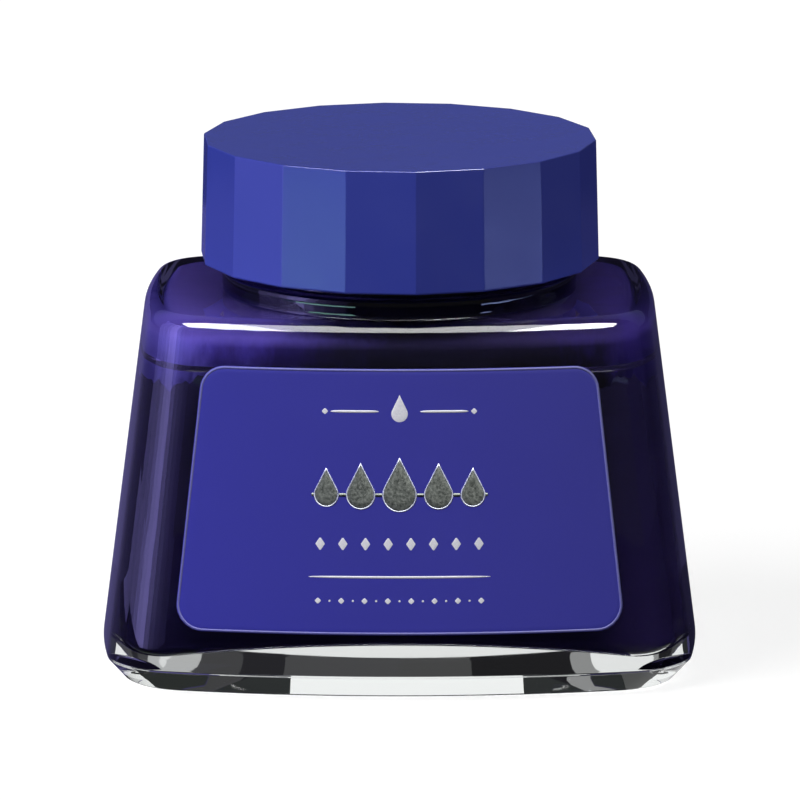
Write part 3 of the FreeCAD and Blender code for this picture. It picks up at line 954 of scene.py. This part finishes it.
def floor_material():
    """Matt white paper, mostly its own even glow, so that the lamps shade it only faintly."""
    material, tree, shader = new_material("floor")
    tone = noise_texture(tree, 8, 2, 0.5)
    colour_over(tree, shader, tone, [(0.3, (0.29, 0.29, 0.29)), (0.7, (0.31, 0.31, 0.31))])
    set_inputs(shader, {"Roughness": 0.9, "Specular IOR Level": 0.0, "Emission Color": (1, 1, 1, 1),
                        "Emission Strength": 0.82})
    return material


def panel_material(name, radiance, colour):
    """Even glow of a softbox, or near black for a flag."""
    material, tree, glow = new_material(name, "ShaderNodeEmission")
    set_inputs(glow, {"Color": (*colour, 1), "Strength": radiance})
    return material


# -------- studio
GROUND_Z = -0.2 * MM
VIOLET = (0.42, 0.37, 1.0)
BLUE = (0.3, 0.5, 1.0)
GREEN_GREY = (0.9, 1, 0.95)


def make_floor(material):
    half = 4.0
    corners = [(x * half, y * half, GROUND_Z) for x, y in ((-1, -1), (1, -1), (1, 1), (-1, 1))]
    floor = mesh_piece("floor", corners, [(0, 1, 2, 3)], material, smooth=False)
    floor.visible_diffuse = False


def around(azimuth, distance, z):
    """Point at an azimuth from the front (towards +X) and a distance from the axis."""
    angle = math.radians(azimuth)
    return Vector((distance * math.sin(angle), -distance * math.cos(angle), z))


def panel(name, points, faces, radiance, colour):
    """Softbox or flag that shows only in the gloss and through the glass."""
    piece = mesh_piece(name, points, faces, panel_material(name, radiance, colour), smooth=False)
    piece.visible_camera = False
    piece.visible_diffuse = False
    piece.visible_shadow = False
    return piece


def curved_panel(name, first, last, low_edge, high_edge, radiance, colour):
    """Panel between two azimuths and two edges, each of them a (distance, z)."""
    steps = max(2, int(abs(last - first) / 6))
    points, faces = [], []
    for k in range(steps + 1):
        azimuth = first + (last - first) * k / steps
        points += [around(azimuth, *low_edge), around(azimuth, *high_edge)]
    for k in range(steps):
        faces.append((2 * k, 2 * k + 2, 2 * k + 3, 2 * k + 1))
    panel(name, points, faces, radiance, colour)


def wall_panel(name, first, last, distance, low, high, radiance, colour=(1, 1, 1)):
    """Upright curved panel."""
    curved_panel(name, first, last, (distance, low), (distance, high), radiance, colour)


def flat_panel(name, corners, radiance, colour=(1, 1, 1)):
    return panel(name, corners, [(0, 1, 2, 3)], radiance, colour)


def back_card(name, left, right, low, high, y, radiance, colour=(1, 1, 1)):
    """Upright card behind the bottle, with its places in millimetres."""
    corners = [(left, y, low), (right, y, low), (right, y, high), (left, y, high)]
    return flat_panel(name, [Vector(corner) * MM for corner in corners], radiance, colour)


def floor_card(name, left, right, front, back, radiance, colour=(1, 1, 1)):
    """Card that lies on the floor, with its places in millimetres."""
    z = GROUND_Z / 2 / MM
    corners = [(left, front, z), (right, front, z), (right, back, z), (left, back, z)]
    flat_panel(name, [Vector(corner) * MM for corner in corners], radiance, colour)


def floor_sector(name, first, last, near, far, radiance, colour=(1, 1, 1), z=GROUND_Z / 2):
    """Card on the floor between two azimuths and two distances."""
    curved_panel(name, first, last, (far, z), (near, z), radiance, colour)


def make_side_panels():
    """Flags and softboxes around the bottle, which its glass and label mirror."""
    distance, low, high = 0.33, -0.001, 0.3
    glows = [(-180, -130, 0.35), (-130, -110, 1.0), (-110, -92, 1.3), (-92, -82, 1.6), (-82, -75, 2.6),
             (-75, -68, 4.2), (-68, -61, 4.8), (-61, -54, 2.1),
             (-54, -47, 0.9), (-47, -40, 0.5), (-40, -33, 0.35)]
    for k, (first, last, radiance) in enumerate(glows):
        wall_panel("glow_left_%d" % k, first, last, distance, low, high, radiance, VIOLET)
        wall_panel("glow_low_%d" % k, first, last, 0.14, low, 0.011, radiance, VIOLET)
    wall_panel("flag_front", -33, 60, distance, low, high, 0.06)
    wall_panel("flag_low_front", -33, 100, 0.14, low, 0.011, 0.04, VIOLET)
    wall_panel("flag_right", 60, 180, distance, low, high, 0.12, VIOLET)


def make_floor_sectors():
    """Cards on the floor, which the cap's facets and the sides of the bottle mirror."""
    outer = [(-180, -130, 0.35, VIOLET), (-130, -92, 1.2, VIOLET), (-92, -68, 1.0, BLUE),
             (-68, -28, 4.6, (0.5, 0.95, 0.95)), (-28, 52, 0.02, BLUE), (52, 92, 6.0, (0.4, 0.5, 1)),
             (92, 180, 0.15, VIOLET)]
    for k, (first, last, radiance, colour) in enumerate(outer):
        floor_sector("card_facet_%d" % k, first, last, 0.205, 0.285, radiance, colour)
    inner = [(-180, -130, 0.35), (-130, -92, 1.2), (-92, 180, 0.03)]
    for k, (first, last, radiance) in enumerate(inner):
        floor_sector("card_round_%d" % k, first, last, 0.1, 0.205, radiance, VIOLET)
        floor_sector("card_rim_%d" % k, first, last, 0.285, 0.329, radiance, VIOLET)


def make_foot_cards():
    """Cards round the foot, which show through the clear glass of the base and in the sides."""
    # Painted shadow: the dark cards under and just behind the foot stand in for the shade that the bottle
    # and its ink cast on the floor there.
    shades = [(-18, -16, 0.8), (-16, -14, 0.5), (-14, -11, 0.06),
              (-11, -8, 0.02), (-8, 5, 0.07), (5, 12, 0.015),
              (12, 13.5, 0.3), (13.5, 15, 0.9), (15, 17, 0.9)]
    for k, (left, right, radiance) in enumerate(shades):
        floor_card("card_lens_%d" % k, left, right, 18.2, 31.9, radiance)
    floor_card("flag_corner_left", -24.5, -17.5, -20, 18, 0.04, GREEN_GREY)
    floor_card("flag_ink_front", -17.5, 16, -22, -6, 0.05, VIOLET)
    floor_card("flag_side_left", -72, -24.5, -50, 69, 0.22, VIOLET)
    floor_card("flag_side_right", 24.5, 72, -6, 69, 0.04, VIOLET)
    floor_card("card_corner_right", 20, 27, -21, -7, 0.9)
    floor_sector("flag_near_left", -180, 0, 0.001, 0.101, 0.12, VIOLET, GROUND_Z * 0.75)
    floor_sector("flag_near_right", 0, 180, 0.001, 0.101, 0.05, VIOLET, GROUND_Z * 0.75)


def make_back_cards():
    """Cards just behind the bottle, which show through its edges and base and in its top faces."""
    low = [back_card("flag_low_side", -60, -22, 0, 6.1, 32, 0.22, VIOLET),
           back_card("flag_low_left", -22, -7.5, 0, 6.1, 32, 0.03, GREEN_GREY),
           back_card("card_low", -7.5, 8.5, 0, 6.1, 32, 1.0),
           back_card("flag_low_right", 8.5, 60, 0, 6.1, 32, 0.03, GREEN_GREY),
           back_card("card_high", -12, 12, 6.3, 12, 32, 0.85)]
    for card in low:
        card.visible_glossy = False
    back_card("flag_back_left", -200, 0, 0, 34, 34, 0.25, VIOLET)
    back_card("flag_back_right", 0, 200, 0, 34, 34, 0.08, VIOLET)
    back_card("flag_shoulder", -200, 200, 34, 47, 34, 0.03, VIOLET)
    back_card("flag_cap_top", -200, 200, 47, 150, 34, 0.18, (0.55, 0.6, 1.0))


def make_panels():
    make_side_panels()
    make_floor_sectors()
    make_foot_cards()
    make_back_cards()
    strips = (("left", -0.28, -0.09, 24), ("middle", -0.09, 0.09, 10), ("right", 0.09, 0.28, 31))
    for name, left, right, radiance in strips:
        corners = [(left, -0.36, 0.26), (right, -0.36, 0.26), (right, -0.06, 0.38), (left, -0.06, 0.38)]
        flat_panel("softbox_top_" + name, corners, radiance)


def aimed(thing, target):
    direction = Vector(target) - thing.location
    thing.rotation_euler = direction.to_track_quat("-Z", "Y").to_euler()


def make_sun(name, azimuth, elevation, irradiance, angle):
    """Soft directional light that leaves no mark in the gloss; irradiance is in units of pi."""
    data = bpy.data.lights.new(name, "SUN")
    data.energy = irradiance * math.pi
    data.angle = math.radians(angle)
    light = bpy.data.objects.new(name, data)
    light.location = around(azimuth, math.cos(math.radians(elevation)), math.sin(math.radians(elevation)))
    aimed(light, (0, 0, 0))
    light.visible_glossy = False
    light.visible_transmission = False
    bpy.context.scene.collection.objects.link(light)


def make_world():
    world = bpy.data.worlds.new("studio")
    bpy.context.scene.world = world
    world.use_nodes = True
    background = world.node_tree.nodes["Background"]
    set_inputs(background, {"Color": (1, 1, 1, 1), "Strength": 0.2})
    world.cycles_visibility.glossy = False
    world.cycles_visibility.transmission = False


def make_camera():
    picture = 800
    focal_pixels = 7266
    data = bpy.data.cameras.new("camera")
    data.sensor_width = 36
    data.lens = focal_pixels / picture * data.sensor_width
    data.clip_start = 0.01
    data.clip_end = 20
    camera = bpy.data.objects.new("camera", data)
    camera.location = (0, -0.6355, 0.1606)
    aimed(camera, (0.00004, 0, 0.02263))
    bpy.context.scene.collection.objects.link(camera)
    bpy.context.scene.camera = camera


def main():
    make_glass(glass_material())
    make_ink(ink_material())
    make_ink_film(film_material())
    make_label(label_material())
    band_on_label("label_edge", label_outline(0.02 * MM), label_outline(0.24 * MM), 0.004 * MM,
                  border_material())
    make_foil(foil_material("foil_field", (0.05, 0.056, 0.05), (0.13, 0.14, 0.125), 0.5),
              foil_material("foil_edge", (0.2, 0.21, 0.25), (0.3, 0.31, 0.36), 0.6))
    make_print(print_material())
    make_cap(cap_material())
    disc("liner_foam_disc", LINER_RADIUS, foam_low[2], foam_high[2], 0.15 * MM, foam_material(),
         "cap_liner")
    disc("liner_film_disc", LINER_RADIUS, film_low[2], film_high[2], 0.05 * MM, film_disc_material(),
         "liner_facing")
    make_floor(floor_material())
    make_world()
    make_panels()
    make_sun("key_left", -60, 40, 0.8, 40)
    make_sun("fill_right", 95, 15, 0.12, 60)
    make_camera()
    bpy.context.scene.view_settings.view_transform = "Standard"


main()
